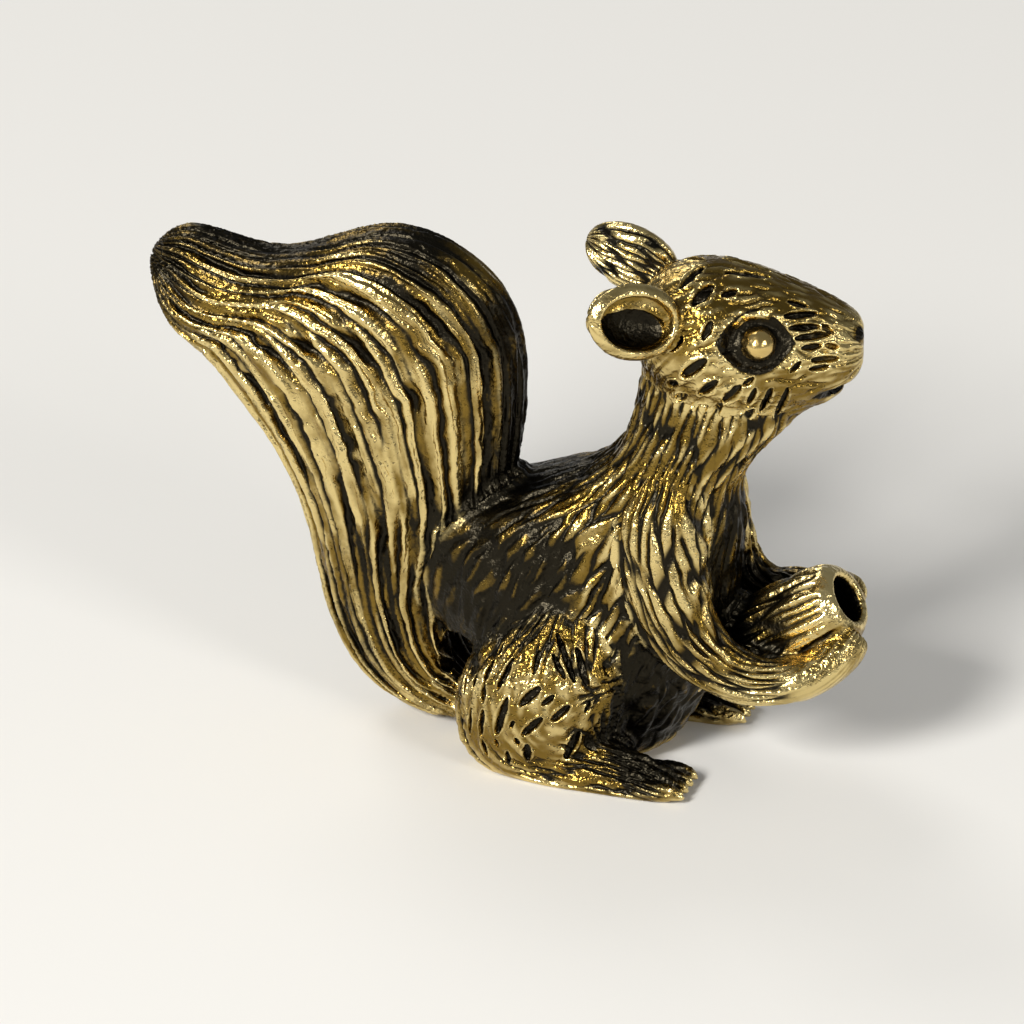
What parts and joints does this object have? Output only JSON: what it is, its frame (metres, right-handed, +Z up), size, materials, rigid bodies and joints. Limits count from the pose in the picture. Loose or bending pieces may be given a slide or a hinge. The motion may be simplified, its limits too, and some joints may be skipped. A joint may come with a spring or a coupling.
{
  "type": "squirrel figurine stick holder",
  "caption": "Small antique-brass squirrel figurine sitting upright with a bushy raised tail, holding a nut bored to take an incense stick.",
  "frame": {"origin": "on the ground under the middle of the overall box, at the level of the soles", "axes": "+X forward where the squirrel faces, from the tail to the nut; +Y to the squirrel's left; +Z up"},
  "size_m": [0.061, 0.0221, 0.0444],
  "materials": {
    "body_brass": "cast brass with dark brown patina in the carved fur, rubbed bright on the high spots",
    "tail_brass": "cast brass with dark brown patina between long carved strands, rubbed bright on the strands",
    "nut_brass": "cast brass, smoother and lightly worn",
    "eye_brass": "polished brass bead",
    "pin_brass": "plain drawn brass rod"
  },
  "bodies": {
    "root": {"trunk": "body_brass", "head": "body_brass", "ear_right": "body_brass", "ear_left": "body_brass", "eye_right": "eye_brass", "eye_left": "eye_brass", "tail": "tail_brass", "hind_leg_right": "body_brass", "hind_leg_left": "body_brass", "foreleg_right": "body_brass", "foreleg_left": "body_brass", "nut": "nut_brass", "neck_dowel": "pin_brass", "tail_dowel": "pin_brass", "hip_pin": "pin_brass", "shoulder_pin": "pin_brass", "nut_dowel": "pin_brass"}
  },
  "joints": []
}
